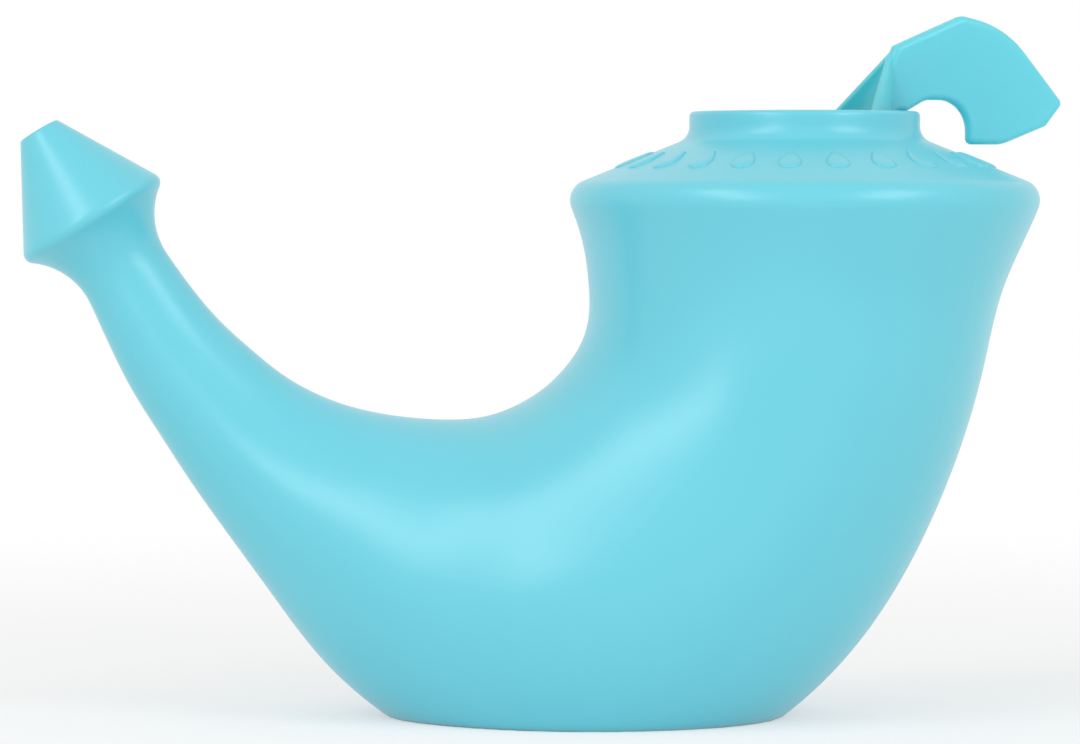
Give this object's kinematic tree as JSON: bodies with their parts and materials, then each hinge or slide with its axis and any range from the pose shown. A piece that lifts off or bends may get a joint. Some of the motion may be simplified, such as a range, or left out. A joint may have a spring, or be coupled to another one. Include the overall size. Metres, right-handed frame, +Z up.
{
  "type": "neti pot",
  "caption": "Child-size neti pot: round wide-shouldered body turning up into a slim spout with a coved cone tip, with a hooked salt spoon hung on its rim.",
  "frame": {"origin": "centre of the foot's flat face, on the surface the pot stands on", "axes": "+Z up; -X towards the spout; the plane Y = 0 halves the pot"},
  "size_m": [0.1491, 0.0666, 0.0998],
  "materials": {
    "pot_plastic": "satin light turquoise, moulded",
    "spoon_plastic": "satin light turquoise, moulded"
  },
  "bodies": {
    "root": {"pot": "pot_plastic", "salt_spoon": "spoon_plastic"}
  },
  "joints": []
}
